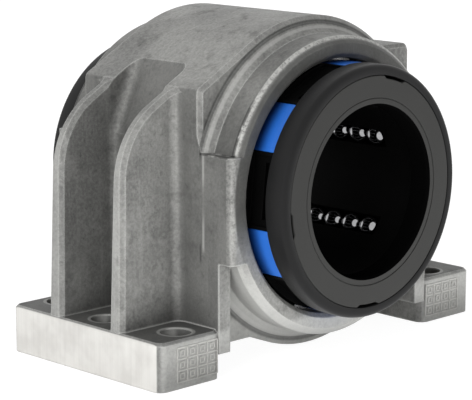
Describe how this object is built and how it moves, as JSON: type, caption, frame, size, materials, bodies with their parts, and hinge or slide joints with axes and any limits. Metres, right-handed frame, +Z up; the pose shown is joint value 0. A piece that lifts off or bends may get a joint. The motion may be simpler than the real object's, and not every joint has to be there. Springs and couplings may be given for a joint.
{
  "type": "linear bearing block",
  "caption": "Cast pillow block on two ribbed feet, with a closed recirculating linear ball bearing for a round shaft.",
  "frame": {"origin": "middle of the mounting face under the feet, straight below the middle of the shaft bore", "axes": "+X across the two feet towards the flat pad on the shoulder, +Y along the shaft, +Z up from the mounting face"},
  "size_m": [0.134, 0.1, 0.099],
  "materials": {
    "cast_housing": "blasted die casting, matt light grey",
    "cage": "moulded, near black",
    "hardened_plate": "ground and hardened",
    "ball": "polished steel",
    "return_cap": "moulded, mid blue",
    "end_ring": "moulded, near black, satin",
    "end_seal": "moulded, dark grey, satin"
  },
  "bodies": {
    "root": {"housing": "cast_housing", "ball_cage": "cage", "raceway_plate_1": "hardened_plate", "raceway_plate_2": "hardened_plate", "raceway_plate_3": "hardened_plate", "raceway_plate_4": "hardened_plate", "raceway_plate_5": "hardened_plate", "raceway_plate_6": "hardened_plate", "ball_row_1": "ball", "ball_row_2": "ball", "ball_row_3": "ball", "ball_row_4": "ball", "ball_row_5": "ball", "ball_row_6": "ball", "return_cap_front_1": "return_cap", "return_cap_front_2": "return_cap", "return_cap_front_3": "return_cap", "return_cap_front_4": "return_cap", "return_cap_front_5": "return_cap", "return_cap_front_6": "return_cap", "return_cap_rear_1": "return_cap", "return_cap_rear_2": "return_cap", "return_cap_rear_3": "return_cap", "return_cap_rear_4": "return_cap", "return_cap_rear_5": "return_cap", "return_cap_rear_6": "return_cap", "end_ring_front": "end_ring", "end_seal_front": "end_seal", "end_ring_rear": "end_ring", "end_seal_rear": "end_seal"}
  },
  "joints": []
}
